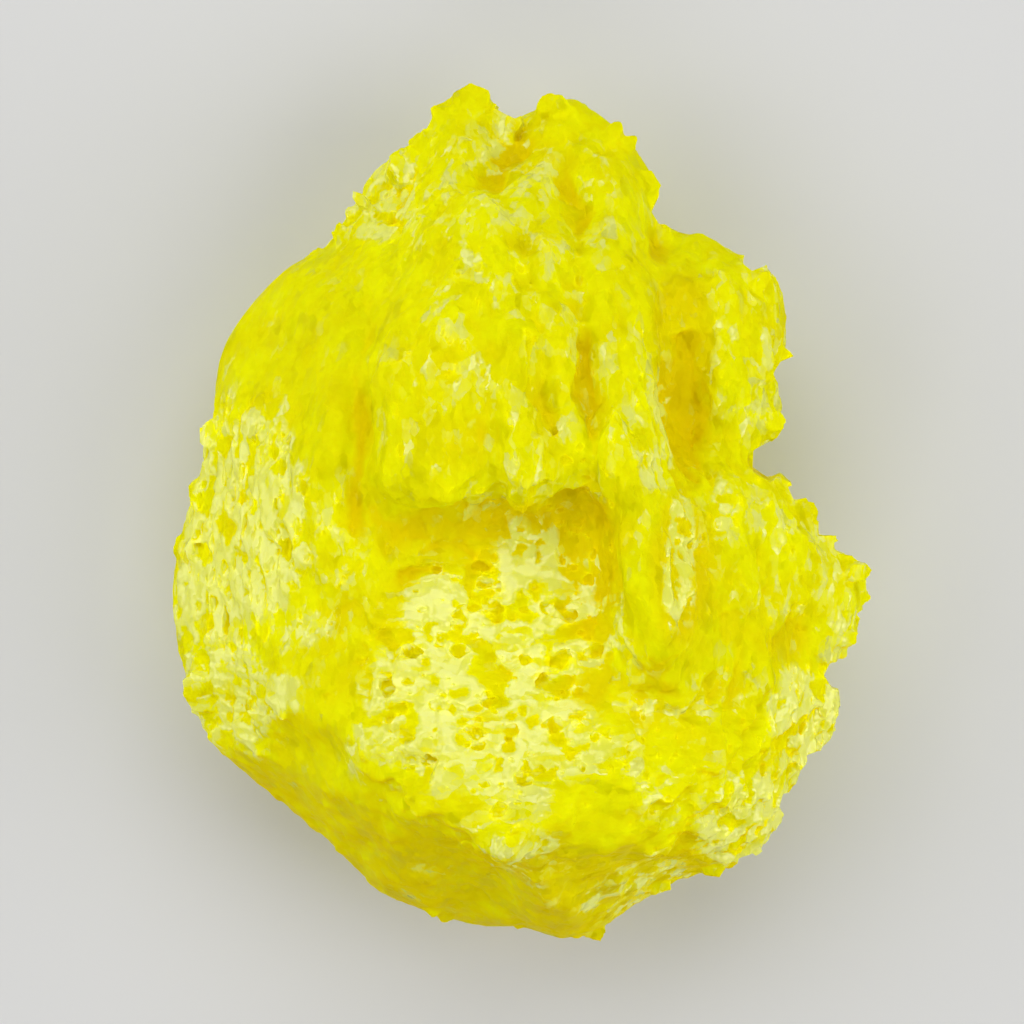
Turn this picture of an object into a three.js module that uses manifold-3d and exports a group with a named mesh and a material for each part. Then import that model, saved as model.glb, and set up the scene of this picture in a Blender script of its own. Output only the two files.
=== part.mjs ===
// Native sulfur, a hand specimen: one mass of sulfur crystals that grew into each other.
// It lies on the flat break where it was parted from its rock, with its grown front facing up.
// Millimetres, +Z up, +Y towards the crown of the specimen, +X towards its finned edge.
// The origin is the middle of the footprint box, on the surface that the specimen lies on.
import * as THREE from "three";
import { ImprovedNoise } from "three/addons/math/ImprovedNoise.js";
import { mergeVertices } from "three/addons/utils/BufferGeometryUtils.js";
import Module from "manifold-3d";

// Driving dimensions: the finished mass is brought to exactly this box.
const LENGTH = 132.5; // along Y, foot to crown
const WIDTH = 107.6; // along X, left flank to right tip
const THICKNESS = 60; // along Z, break to highest ridge

// How the sphere that becomes the mass is divided and stretched.
const SPHERE_DETAIL = 19; // each icosahedron edge is cut into this many plus one
const FRONT_SHARE = 0.7; // share of the way from pole to pole that the grown front takes
const FRONT_FULLNESS = 5; // how far out the front keeps its height: 2 is an ellipse, more is boxier
const UNDER_FULLNESS = 2.6; // the same for the underside, which draws in sooner towards the break
const HEART = [0, -5]; // the point in plan that every part of the rim can be seen from
const BREAK_DEPTH = 6; // how far the sphere reaches below the break before it is cut off
const FACE_SHARPNESS = 2; // how suddenly one broad face gives way to the next
const WANDER = { height: 2.4, grain: 15 }; // how far the faces' and ribs' lines stray in plan
const KNOBBLE = { height: 0.7, grain: 7 }; // roughness of the grown front, and its grain
const UNDERSIDE_KNOBBLE = { height: 1.6, grain: 16 }; // the same, for the hidden back
const SULFUR_YELLOW = 0xece60a;

// The rim is one closed curve in space, the widest line round the mass: [x, y, height].
const RIM = [
  [53.6, -9.5, 27], [53.8, -14, 26], [52.8, -19, 25], [49.4, -22.8, 25], [50.6, -29.5, 25],
  [48.4, -35, 24], [44.6, -38.2, 24], [41.9, -42.8, 23], [40.6, -48.2, 22], [34.9, -54, 22],
  [28.5, -55.6, 20], [19.4, -60.4, 19], [11.6, -65.8, 18], [6.6, -66.2, 18], [0.2, -64.1, 17],
  [-4.2, -65, 16], [-13.2, -62.6, 16], [-21.7, -58.8, 16], [-28, -52.2, 17], [-39.4, -42.7, 18],
  [-47.4, -35.3, 19], [-50.4, -28.5, 20], [-52.7, -19.5, 20], [-53.6, -13.5, 20], [-52.9, -6.5, 20],
  [-50.3, 3.2, 20], [-47.4, 12, 19], [-46.9, 18.5, 18], [-45.6, 26.5, 18], [-36, 38.6, 17],
  [-28.4, 42.8, 17], [-24.9, 49.2, 18], [-19, 55.9, 20], [-13.2, 59.6, 21], [-12, 64, 21],
  [-7.2, 66.2, 21], [-2.6, 63.8, 22], [0.4, 60.8, 22], [3, 63.6, 23], [8.6, 64.9, 24],
  [13.8, 61.8, 25], [18.6, 57.2, 25], [22.7, 49.6, 25], [21.9, 43.6, 24], [27.3, 43.8, 26],
  [32.3, 41.2, 27], [38.2, 38.2, 27], [41.4, 34, 27], [42.2, 26.3, 27], [39.6, 21.2, 27],
  [41, 15.8, 28], [37.6, 7.9, 28], [41.6, 5.3, 29], [44.4, 0.2, 29], [47.8, -2.6, 29],
];

// The front's broad faces. Each is a plane: the height of its middle over the break, its
// slope along X and Y, and how far it reaches along X and Y before a neighbour takes over.
const FACES = [
  { name: "left flank, outer", at: [-46, -8, 30], slope: [0.95, 0], reach: [11, 20] },
  { name: "left flank, inner", at: [-33, -2, 45], slope: [0.42, 0], reach: [11, 18] },
  { name: "shoulder", at: [-37, 24, 35], slope: [0.55, -0.42], reach: [13, 12] },
  { name: "shoulder top", at: [-26, 34, 42], slope: [0.35, -0.5], reach: [9, 9] },
  { name: "striated corner", at: [-45, -27, 31], slope: [0.7, 0.35], reach: [9, 8] },
  { name: "flank foot", at: [-28, -23, 48], slope: [0.3, -0.1], reach: [9, 8] },
  { name: "left crest", at: [-20, 48, 29], slope: [0.75, -0.55], reach: [7, 9] },
  { name: "left peak", at: [-8, 57, 31], slope: [0.1, -0.75], reach: [8, 8] },
  { name: "right dome", at: [8, 54, 36], slope: [0, -0.8], reach: [8, 9] },
  { name: "right dome side", at: [18, 49, 33], slope: [-0.7, -0.5], reach: [5, 8] },
  { name: "crown, left", at: [-13, 34, 46], slope: [0.25, -0.45], reach: [9, 9] },
  { name: "crown, middle", at: [-1, 34, 48], slope: [0, -0.45], reach: [7, 10] },
  { name: "crown, right", at: [12, 34, 46], slope: [-0.25, -0.4], reach: [8, 9] },
  { name: "left drapery", at: [-12, 14, 53], slope: [0.05, -0.12], reach: [8, 10] },
  { name: "middle drapery", at: [0, 16, 54], slope: [-0.05, -0.12], reach: [6, 10] },
  { name: "right drapery", at: [11, 16, 50], slope: [-0.3, -0.05], reach: [7, 9] },
  { name: "left trough", at: [-22, 10, 47], slope: [0.1, -0.05], reach: [4, 14] },
  { name: "hollow, left", at: [-8, -3, 47.5], slope: [0, -0.3], reach: [9, 5] },
  { name: "hollow, right", at: [9, -5, 47.5], slope: [0, -0.2], reach: [7, 6] },
  { name: "pitted face, upper", at: [-5, -16, 49], slope: [0, -0.36], reach: [12, 8] },
  { name: "pitted face, lower", at: [-2, -34, 55.5], slope: [0, -0.33], reach: [12, 11] },
  { name: "pitted face, left", at: [-17, -22, 51], slope: [0.05, -0.3], reach: [6, 9] },
  { name: "tongue", at: [19, -7, 52], slope: [0.05, -0.1], reach: [6, 10] },
  { name: "right trough", at: [23.5, 19, 38], slope: [0, 0], reach: [4, 10] },
  { name: "fin, upper", at: [33, 30, 38], slope: [-0.1, -0.1], reach: [8, 9] },
  { name: "fin, lower", at: [34, 13, 40], slope: [-0.2, -0.15], reach: [8, 8] },
  { name: "right middle", at: [31, -6, 46], slope: [-0.3, -0.2], reach: [7, 9] },
  { name: "right tip", at: [44, -9, 38], slope: [-0.55, -0.1], reach: [8, 9] },
  { name: "right step", at: [38, -20, 43], slope: [-0.4, -0.2], reach: [8, 7] },
  { name: "right pitted knob", at: [45, -31, 39], slope: [-0.7, 0.1], reach: [7, 8] },
  { name: "lower right, upper", at: [25, -29, 51], slope: [-0.25, -0.25], reach: [10, 8] },
  { name: "lower right, front", at: [20, -41, 55], slope: [-0.2, -0.1], reach: [10, 7] },
  { name: "lower right, corner", at: [36, -43, 47], slope: [-0.6, 0.2], reach: [8, 8] },
  { name: "under-flank, left", at: [-36, -36, 41], slope: [0.35, 0.7], reach: [9, 8] },
  { name: "under-flank, middle", at: [-22, -43, 47], slope: [0.2, 0.75], reach: [8, 7] },
  { name: "under-flank, low", at: [-25, -53, 36], slope: [0.3, 0.9], reach: [9, 6] },
  { name: "scoop", at: [-8, -56, 41], slope: [0.1, 1.1], reach: [8, 7] },
  { name: "keel", at: [6, -59, 45], slope: [-0.3, 0.9], reach: [6, 8] },
  { name: "under-flank, right", at: [21, -54, 46], slope: [-0.4, 1], reach: [9, 5] },
];

// Ribs of crystals stand proud of the broad faces, and the furrows between them, whose height is
// below 0, are cut into them. Each runs straight in plan and is as high as this on its line.
const RIBS = [
  { name: "flank crest", from: [-28, 22], to: [-26, -6], width: 5, height: 2.5 },
  { name: "left drapery, outer", from: [-15, 34], to: [-18, 5], width: 2.6, height: 3.5 },
  { name: "left drapery, inner", from: [-8, 40], to: [-11, 6], width: 3.2, height: 4 },
  { name: "slender drapery", from: [-3, 46], to: [2.5, 3], width: 2.2, height: 4.5 },
  { name: "second drapery", from: [5, 40], to: [8.5, 8], width: 2.4, height: 4.5 },
  { name: "third drapery", from: [14, 43], to: [14.5, 6], width: 2.6, height: 4 },
  { name: "edge of the massif", from: [18, 50], to: [20.5, 22], width: 3, height: 5 },
  { name: "lower edge of the massif", from: [20, 22], to: [18, 10], width: 2.4, height: 3.5 },
  { name: "left peak", from: [-8, 63], to: [-6, 48], width: 3.6, height: 3.5 },
  { name: "left peak, outer", from: [-13, 58], to: [-12, 42], width: 2.6, height: 3 },
  { name: "left crest", from: [-23, 47], to: [-18, 40], width: 3.4, height: 2 },
  { name: "right dome", from: [6, 62], to: [3, 48], width: 3, height: 4 },
  { name: "right dome, outer", from: [14, 58], to: [16, 46], width: 3.4, height: 3 },
  { name: "drop", from: [25, 38], to: [26, 29], width: 2.4, height: 4 },
  { name: "tongue", from: [18, 6], to: [21, -18], width: 5, height: 8.5 },
  { name: "second tongue", from: [26, -2], to: [28, -21], width: 3, height: 3 },
  { name: "fin, inner", from: [31, 40], to: [30, 18], width: 3.6, height: 2.5 },
  { name: "fin, outer", from: [37, 37], to: [38, 14], width: 3, height: 3 },
  { name: "first blade", from: [31, 5], to: [33, -10], width: 2.6, height: 3 },
  { name: "second blade", from: [36, 4], to: [41, -11], width: 2.8, height: 3.5 },
  { name: "right tip, upper", from: [43, 1], to: [48, -12], width: 2.8, height: 3 },
  { name: "right tip, lower", from: [50, -10], to: [48, -22], width: 2.8, height: 3 },
  { name: "right step", from: [34, -15], to: [39, -27], width: 3.4, height: 3 },
  { name: "lower right, upper", from: [24, -24], to: [29, -37], width: 4, height: 2 },
  { name: "lower right, front", from: [13, -34], to: [18, -46], width: 4, height: 2 },
  { name: "shelf lip, left", from: [-26, -31], to: [-14, -42], width: 3, height: 3 },
  { name: "shelf lip, middle", from: [-14, -42], to: [2, -49], width: 3, height: 3 },
  { name: "shelf lip, right", from: [2, -49], to: [26, -50], width: 3, height: 1.5 },
  { name: "keel", from: [-1, -50], to: [10, -64], width: 2.6, height: 6 },
  { name: "flank rib", from: [-17, -44], to: [-17, -58], width: 3.2, height: 4 },
  { name: "ledge on the under-flank", from: [-44, -37], to: [-27, -41], width: 2.4, height: 2.5 },
  { name: "left trough", from: [-23, 33], to: [-22, -2], width: 2, height: -2 },
  { name: "foot of the left trough", from: [-22, -2], to: [-29, -17], width: 2.6, height: -2 },
  { name: "cleft between the peaks", from: [0.5, 63], to: [-1, 50], width: 2.4, height: -5 },
  { name: "behind the left crest", from: [-18, 51], to: [-18, 36], width: 2.4, height: -2.5 },
  { name: "crown hollow", from: [8, 52], to: [10, 43], width: 3, height: -5 },
  { name: "first slot", from: [3, 34], to: [6, 12], width: 1.6, height: -2.5 },
  { name: "second slot", from: [11, 26], to: [11.5, 10], width: 1.8, height: -3 },
  { name: "right trough", from: [23, 40], to: [24, 12], width: 2.8, height: -3 },
  { name: "scoop", from: [-9, -50], to: [-5, -62], width: 3.2, height: -3 },
];

// Hollows that reach in under the ribs' lower ends: the middle, half the size, and the turn about Z.
const HOLLOWS = [
  { name: "under the left drapery", middle: [-9, -1.5, 51], half: [8, 4, 3], turn: 0.35 },
  { name: "under the second drapery", middle: [9, -0.5, 50], half: [5, 4, 2.6], turn: 0.3 },
  { name: "under the edge of the massif", middle: [22.5, 18, 41], half: [1.8, 8, 3], turn: 0.05 },
  { name: "pit in the left trough", middle: [-22, 27, 46], half: [1.8, 3.5, 5], turn: 0 },
  { name: "lower pit in the left trough", middle: [-23.5, 15, 49], half: [1.6, 3, 5], turn: 0 },
];
const HOLLOW_DETAIL = 2; // each icosahedron edge of a hollow is cut into this many plus one

const noise = new ImprovedNoise();

// Smooth noise with a mean of 0, of about this height, with lumps about one grain across.
function knobble({ height, grain }, x, y, z) {
  const coarse = noise.noise(x / grain, y / grain, z / grain);
  const fine = noise.noise((2.1 * x) / grain, (2.1 * y) / grain, (2.1 * z) / grain);
  return height * (1.4 * coarse + 0.7 * fine);
}

// How far the lines of the front stray at a point in plan.
function wander(x, y) {
  return new THREE.Vector2(knobble(WANDER, x, y, 20), knobble(WANDER, x, y, 90));
}

// The height of the grown front over the break: a blend of the broad faces, with the ribs on it.
function frontHeight(planX, planY) {
  const { x, y } = wander(planX, planY).add(new THREE.Vector2(planX, planY));
  let weighed = 0;
  let weights = 0;
  for (const { at, slope, reach } of FACES) {
    const dx = x - at[0];
    const dy = y - at[1];
    const weight = Math.exp(-FACE_SHARPNESS * ((dx / reach[0]) ** 2 + (dy / reach[1]) ** 2)) + 1e-9;
    weighed += weight * (at[2] + slope[0] * dx + slope[1] * dy);
    weights += weight;
  }
  return RIBS.reduce((height, rib) => height + ribHeight(rib, x, y), weighed / weights);
}

// A rib is highest on its line and falls away like a bell curve.
function ribHeight({ from, to, width, height }, x, y) {
  const along = new THREE.Vector2(to[0] - from[0], to[1] - from[1]);
  const offset = new THREE.Vector2(x - from[0], y - from[1]);
  const share = THREE.MathUtils.clamp(offset.dot(along) / along.lengthSq(), 0, 1);
  const distance = offset.addScaledVector(along, -share).length();
  return height * Math.exp(-((distance / width) ** 2));
}

// Returns a function from a bearing about HEART to the rim's point there, as a plan radius and a height.
function rimByBearing(points) {
  const curve = new THREE.CatmullRomCurve3(points.map((p) => new THREE.Vector3(...p)), true);
  const steps = 1440;
  const table = new Array(steps).fill(null);
  const bearingStep = (bearing) => Math.round(((bearing / (2 * Math.PI) + 1) % 1) * steps) % steps;
  for (const p of curve.getPoints(steps * 4)) {
    const x = p.x - HEART[0];
    const y = p.y - HEART[1];
    table[bearingStep(Math.atan2(y, x))] = { radius: Math.hypot(x, y), height: p.z };
  }
  for (let i = 0; i < 2 * steps; i++) table[i % steps] ??= table[(i + steps - 1) % steps];
  return (bearing) => table[bearingStep(bearing)];
}

// Carries a point of the unit sphere to its place on the mass. The upper cap becomes the grown
// front, the rest becomes the underside, and the two meet in the rim.
function shapedPoint(unit, rimAt) {
  const polar = Math.acos(THREE.MathUtils.clamp(unit.z, -1, 1)) / Math.PI;
  const onFront = polar < FRONT_SHARE;
  const toRim = onFront ? polar / FRONT_SHARE : (1 - polar) / (1 - FRONT_SHARE);
  const outwards = Math.sin((toRim * Math.PI) / 2);
  const fullness = Math.sqrt(1 - outwards ** (onFront ? FRONT_FULLNESS : UNDER_FULLNESS));
  const bearing = Math.atan2(unit.y, unit.x);
  const rim = rimAt(bearing);
  const x = HEART[0] + outwards * rim.radius * Math.cos(bearing);
  const y = HEART[1] + outwards * rim.radius * Math.sin(bearing);
  if (onFront) {
    const front = frontHeight(x, y) + knobble(KNOBBLE, x, y, 0);
    return new THREE.Vector3(x, y, THREE.MathUtils.lerp(rim.height, front, fullness));
  }
  const under = -BREAK_DEPTH + knobble(UNDERSIDE_KNOBBLE, x, y, 50);
  return new THREE.Vector3(x, y, THREE.MathUtils.lerp(rim.height, under, fullness));
}

// A unit sphere of even triangles, with nothing but its corners' positions.
function bareSphere(detail) {
  const sphere = new THREE.IcosahedronGeometry(1, detail);
  sphere.deleteAttribute("normal");
  sphere.deleteAttribute("uv");
  return mergeVertices(sphere, 1e-5);
}

// The sphere pushed into the shape of the mass.
function roughMass() {
  const geometry = bareSphere(SPHERE_DETAIL);
  const rimAt = rimByBearing(RIM);
  const position = geometry.getAttribute("position");
  const unit = new THREE.Vector3();
  for (let i = 0; i < position.count; i++) {
    unit.fromBufferAttribute(position, i).normalize();
    position.setXYZ(i, ...shapedPoint(unit, rimAt));
  }
  return geometry;
}

// The space that one hollow takes out of the mass.
function hollow({ middle, half, turn }) {
  const geometry = bareSphere(HOLLOW_DETAIL);
  return geometry.scale(...half).rotateZ(turn).translate(...middle);
}

// manifold-3d cuts the hollows into the mass, and cuts it off flat at its break.
const wasm = await Module();
wasm.setup();

// A closed solid for manifold-3d, from a geometry whose corners are first merged by position.
function toSolid(geometry) {
  const bare = new THREE.BufferGeometry();
  bare.setAttribute("position", geometry.getAttribute("position").clone());
  bare.setIndex(geometry.index);
  const merged = mergeVertices(bare, 1e-4);
  return new wasm.Manifold(
    new wasm.Mesh({
      numProp: 3,
      vertProperties: new Float32Array(merged.attributes.position.array),
      triVerts: new Uint32Array(merged.index.array),
    }),
  );
}

function toGeometry(solid) {
  const mesh = solid.getMesh();
  const geometry = new THREE.BufferGeometry();
  geometry.setAttribute("position", new THREE.BufferAttribute(mesh.vertProperties, 3));
  geometry.setIndex(new THREE.BufferAttribute(mesh.triVerts, 1));
  return geometry;
}

// The rough mass with every hollow in it, cut off flat at the break.
function finishedMass() {
  const below = new THREE.BoxGeometry(3 * WIDTH, 3 * LENGTH, THICKNESS);
  below.translate(0, 0, -THICKNESS / 2);
  let solid = toSolid(roughMass()).subtract(toSolid(below));
  for (const shape of HOLLOWS) solid = solid.subtract(toSolid(hollow(shape)));
  return toGeometry(solid);
}

// Brings the mass to its driving dimensions, with the origin in the middle of its footprint box.
function fitToSize(geometry) {
  geometry.computeBoundingBox();
  const { min, max } = geometry.boundingBox;
  geometry.translate(-(min.x + max.x) / 2, -(min.y + max.y) / 2, -min.z);
  geometry.scale(WIDTH / (max.x - min.x), LENGTH / (max.y - min.y), THICKNESS / (max.z - min.z));
  geometry.computeVertexNormals();
  return geometry;
}

const sulfur = new THREE.MeshStandardMaterial({ color: SULFUR_YELLOW, roughness: 0.35, metalness: 0 });
const mass = new THREE.Mesh(fitToSize(finishedMass()), sulfur);
mass.name = "sulfur_mass";

const specimen = new THREE.Group();
specimen.add(mass);

export default specimen;
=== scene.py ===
# %% [markdown]
# # Native sulfur: one mass of crystals that grew into each other
#
# This lesson builds a hand specimen of native sulfur around its measured solid. The specimen
# lies on the flat break on its back, and we look straight down on its grown front.
# The solid already has the right size and the broad faces. What it lacks is what makes sulfur
# look like sulfur: crystals by the hundred, pits, ragged edges, a waxy glow and glassy faces.
#
# We load the solid first.

# %% Load the measured solid
import math
import random

import bmesh
import bpy
import numpy as np
from mathutils import Matrix, Vector, noise
from mathutils.bvhtree import BVHTree
from mathutils.kdtree import KDTree


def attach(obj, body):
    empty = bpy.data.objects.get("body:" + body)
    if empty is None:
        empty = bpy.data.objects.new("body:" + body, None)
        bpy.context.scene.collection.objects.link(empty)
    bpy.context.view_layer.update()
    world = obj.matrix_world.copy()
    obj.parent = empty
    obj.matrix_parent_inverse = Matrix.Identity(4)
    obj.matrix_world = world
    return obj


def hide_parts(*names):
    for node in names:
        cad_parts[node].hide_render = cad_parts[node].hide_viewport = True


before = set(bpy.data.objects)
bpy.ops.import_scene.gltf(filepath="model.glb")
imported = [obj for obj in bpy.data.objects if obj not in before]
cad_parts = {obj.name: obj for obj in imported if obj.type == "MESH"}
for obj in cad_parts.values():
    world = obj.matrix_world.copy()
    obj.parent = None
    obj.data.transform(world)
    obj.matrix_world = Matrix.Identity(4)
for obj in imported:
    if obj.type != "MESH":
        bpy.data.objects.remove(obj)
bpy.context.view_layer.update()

MM = 0.001
noise.seed_set(3)  # unseeded, the wandering borders would differ from run to run

# %% [markdown]
# ## A smooth core
#
# The solid is made of flat triangles about 2 mm long. A real crystal mass has no such net on it,
# so we work on a copy: its loose triangles are merged, a voxel remesh gives it an even skin, and
# a few rounds of smoothing melt the net away. The solid itself is left alone.

# %% Helpers that turn a bmesh into a finished mesh
def as_object(mesh_in_making, name):
    """Link a bmesh to the scene as an object, and free it."""
    data = bpy.data.meshes.new(name)
    mesh_in_making.to_mesh(data)
    mesh_in_making.free()
    piece = bpy.data.objects.new(name, data)
    bpy.context.scene.collection.objects.link(piece)
    return piece


def apply_modifiers(piece):
    """Replace the piece's mesh by what its modifiers make of it."""
    graph = bpy.context.evaluated_depsgraph_get()
    data = bpy.data.meshes.new_from_object(piece.evaluated_get(graph))
    piece.modifiers.clear()
    old, piece.data = piece.data, data
    bpy.data.meshes.remove(old)


def fuse(piece, voxel):
    """Melt everything in the piece that overlaps into one skin."""
    remesh = piece.modifiers.new("fuse", "REMESH")
    remesh.mode = "VOXEL"
    remesh.voxel_size = voxel
    apply_modifiers(piece)


def relax(piece, rounds, factor=0.5):
    """Smooth the piece a little in every round."""
    smooth = piece.modifiers.new("relax", "SMOOTH")
    smooth.factor = factor
    smooth.iterations = rounds
    apply_modifiers(piece)


# %% Make the core
core_mesh = bmesh.new()
core_mesh.from_mesh(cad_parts["sulfur_mass"].data)
bmesh.ops.remove_doubles(core_mesh, verts=core_mesh.verts, dist=0.001 * MM)
core = as_object(core_mesh, "sulfur_growth")
fuse(core, voxel=0.8 * MM)
relax(core, rounds=6)
print("core faces:", len(core.data.polygons))

# %% [markdown]
# ## Where a crystal sits
#
# Everything that grows on the core is placed by a point in plan, so we need the skin under that
# point and the way it faces. A ray shot straight down finds both.

# %% Find the skin under a point in plan
def skin_finder(piece):
    """A function from x and y in mm to the point on the piece below them and its normal."""
    graph = bpy.context.evaluated_depsgraph_get()
    tree = BVHTree.FromObject(piece, graph)

    def find(x, y):
        point, normal, _, _ = tree.ray_cast(Vector((x * MM, y * MM, 0.2)), Vector((0, 0, -1)))
        return point, normal

    return find


core_skin = skin_finder(core)
print("height at the middle, mm:", round(core_skin(0, 0)[0].z / MM, 1))

# %% [markdown]
# Crystals stand on the ribs and leave the furrows between them free. A strongly smoothed copy of
# the core lies over the furrows and under the ribs, so it tells one from the other.

# %% Find the furrows
smoothed = core.copy()
smoothed.data = core.data.copy()
bpy.context.scene.collection.objects.link(smoothed)
relax(smoothed, rounds=60)
smooth_skin = skin_finder(smoothed)
smoothed_corners = np.empty(len(smoothed.data.vertices) * 3, np.float32)
smoothed.data.vertices.foreach_get("co", smoothed_corners)
bpy.data.objects.remove(smoothed)


def furrow_depth(x, y):
    """How far the core lies under its smoothed copy at a point in plan, in mm."""
    point, _ = core_skin(x, y)
    above, _ = smooth_skin(x, y)
    return 0 if point is None or above is None else (above.z - point.z) / MM


print("furrow in the right trough, mm:", round(furrow_depth(24, 20), 2))

# %% [markdown]
# ## The zones of the front
#
# Each part of the front has its own habit. The face in the middle is flat, glassy and full of
# pits, the flank on the left is eaten by pits too, and the shoulder between them is smooth and
# matte. One table names these zones.
# A zone is a soft ellipse in plan, and it says which way its facets face and how flat, how pitted
# and how glassy they are, which also sets a pale painted sheen. Later steps ask it for any corner
# of the mesh.

# %% The zones
ZONES = [
    # name, middle, half size, outward, how flat, how pitted, how glassy (coat and painted sheen)
    ("pitted face", (-4, -24), (20, 23), (0.02, 0.38, 1), 1, 1, 0.88),
    ("left flank", (-43, -2), (11, 22), (-0.58, 0.05, 1), 0.9, 0.6, 1.05),
    ("inner flank", (-29, -8), (8, 18), (-0.3, 0.1, 1), 0.4, 0.4, 0.5),
    ("striated corner", (-45, -28), (10, 9), (-0.5, -0.2, 1), 0.6, 0.2, 0.95),
    ("right knob", (45, -31), (8, 9), (0.5, 0, 1), 0.8, 0.8, 1.15),
    ("lower right", (26, -35), (14, 13), (0.15, 0.25, 1), 0.6, 0.5, 0.42),
    ("lower right corner", (36, -46), (11, 8), (0.5, -0.1, 1), 0.8, 0.7, 1.05),
    ("left crest", (-20, 48), (8, 8), (-0.5, 0.4, 1), 0.6, 0.6, 0.82),
    ("crown", (1, 45), (17, 18), (0, 0.3, 1), 0.3, 0.1, 0.46),
    ("ribs", (0, 18), (20, 18), (0, 0.25, 1), 0.4, 0.35, 0.42),
    ("tip of the slender rib", (1.2, -3), (2.2, 3), (0, 0.38, 1), 0.8, 0.2, 0.9),
    ("edge of the massif", (20, 12), (4, 9), (0.15, 0.35, 1), 0.8, 0.4, 0.8),
    ("tongue", (24, -6), (4, 12), (0.2, 0.3, 1), 0.8, 0.5, 0.1),
    ("bright side of the tongue", (24, -6), (2.6, 10), (0.2, 0.35, 1), 0.9, 0.6, 0.95),
    ("bright strip", (30.3, 1.5), (1.8, 5), (0.05, 0.36, 1), 1, 0, 1),
    ("fin", (35, 25), (8, 18), (0.2, 0.2, 1), 0.5, 0.4, 0.42),
    ("blades", (36, -3), (12, 12), (0.3, 0.25, 1), 0.5, 0.3, 0.46),
    ("right tip", (47, -12), (7, 12), (0.45, 0.1, 1), 0.5, 0.5, 0.5),
    ("under-flank", (-12, -52), (34, 9), (0, -0.8, 1), 0.3, 0, 0.0),
    ("right of the keel", (20, -57), (12, 5), (0.3, -0.6, 1), 0.4, 0.2, 0.5),
]
FLAT, PITTED, GLASSY_AND_SHEEN = 4, 5, 6  # columns of the table
SMOOTH_SHOULDER = ((-35, 29), (13, 14))


def strays(place, grain):
    """A noise vector for each place, by which the borders between zones wander."""
    return np.array([noise.noise_vector(Vector(p) / grain) for p in place])


def nearness(place, middle, half, stray=None):
    """1 in the middle of an ellipse in plan, falling to 0 just outside it."""
    away = (place[:, :2] - middle) / half
    if stray is not None:
        away = away + 0.5 * stray[:, :2]
    return np.clip(1.8 - 1.4 * (away ** 2).sum(axis=1), 0, 1)


def zone_values(place, column, stray=None):
    """The highest value of one column of the table over all zones, at each corner."""
    values = np.zeros(len(place))
    for zone in ZONES:
        values = np.maximum(values, nearness(place, zone[1], zone[2], stray) * zone[column])
    return values


def zone_facings(place):
    """The way that the facets face at each corner: a blend of the zones around it."""
    total = np.zeros((len(place), 3))
    for zone in ZONES:
        total += nearness(place, zone[1], zone[2])[:, None] ** 2 * Vector(zone[3]).normalized()
    return total / np.maximum(np.linalg.norm(total, axis=1), 1e-6)[:, None]


print("zones:", len(ZONES))

# %% [markdown]
# The measured solid cuts three places sharply: the hollow under the ribs, the cleft between the
# peaks and the trough on the right. The real lips are worn round and the floors run up to them,
# so there the core is drawn most of the way to its smoothed copy.

# %% Soften the hollow and the cleft
def corner_arrays(data):
    """The place of every corner in mm and the way it faces."""
    place = np.empty(len(data.vertices) * 3, np.float32)
    data.vertices.foreach_get("co", place)
    facing = np.empty(len(data.vertices) * 3, np.float32)
    data.vertex_normals.foreach_get("vector", facing)
    return place.reshape(-1, 3).astype(np.float64) / MM, facing.reshape(-1, 3).astype(np.float64)


def move_corners(data, place):
    """Put every corner at its place, in mm."""
    data.vertices.foreach_set("co", (place * MM).astype(np.float32).ravel())
    data.update()


# middle and half size of the hollow, of the cleft and of the right trough
SOFTENED = [((-2, -1), (19, 9)), ((0, 57), (7, 9)), ((24, 20), (6, 17))]
SOFTENING = 0.9

place, _ = corner_arrays(core.data)
target = smoothed_corners.reshape(-1, 3) / MM
for middle, half in SOFTENED:
    place += (target - place) * SOFTENING * nearness(place, middle, half)[:, None]
move_corners(core.data, place)
core_skin = skin_finder(core)
print("height in the middle of the hollow, mm:", round(core_skin(0, -4)[0].z / MM, 1))

# %% [markdown]
# ## Crystals
#
# Sulfur grows as blunt, many-sided crystals, and here they all grew side by side and the same way
# round. One crystal is a frustum of four to seven sides with its flat cap outwards, stretched
# along the way it grew. It could be a full bipyramid, but only the part that stands out of the
# mass is ever seen. A flat side, and not a corner, leads along the crystal, so its ends are blunt.

# %% One crystal
ROOT_RADIUS, CAP_RADII = 0.58, (0.3, 0.45)  # as shares of its length and width
MOST_LEAN = 0.25


def add_crystal(cluster, middle, along, outward, size, rng):
    """Add a blunt crystal: size is its length, width and height in mm."""
    across = outward.cross(along).normalized()
    along = across.cross(outward).normalized()
    place = Matrix.Identity(4)
    for column, (axis, reach) in enumerate(zip((along, across, outward), size)):
        for row in range(3):
            place[row][column] = axis[row] * reach * MM
    place.translation = middle
    sides = rng.choice((4, 5, 6, 6, 7))
    turn = Matrix.Rotation(math.pi / sides + rng.uniform(-0.3, 0.3), 4, "Z")
    lean = Matrix.Identity(4)
    lean[0][2] = rng.uniform(-MOST_LEAN, MOST_LEAN)
    lean[1][2] = rng.uniform(-MOST_LEAN, MOST_LEAN)
    bmesh.ops.create_cone(
        cluster, cap_ends=True, segments=sides,
        radius1=ROOT_RADIUS, radius2=rng.uniform(*CAP_RADII), depth=1,
        matrix=place @ lean @ turn,
    )


# %% [markdown]
# ## The large crystals
#
# A few crystals are large enough to be named: the tip of the slender rib, the bright prisms, the
# drop in the trough, the tongue's edge and the blades on the right. Each runs from its root to
# its tip in plan, and the table says how far its cap stands out of the skin.

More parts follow.
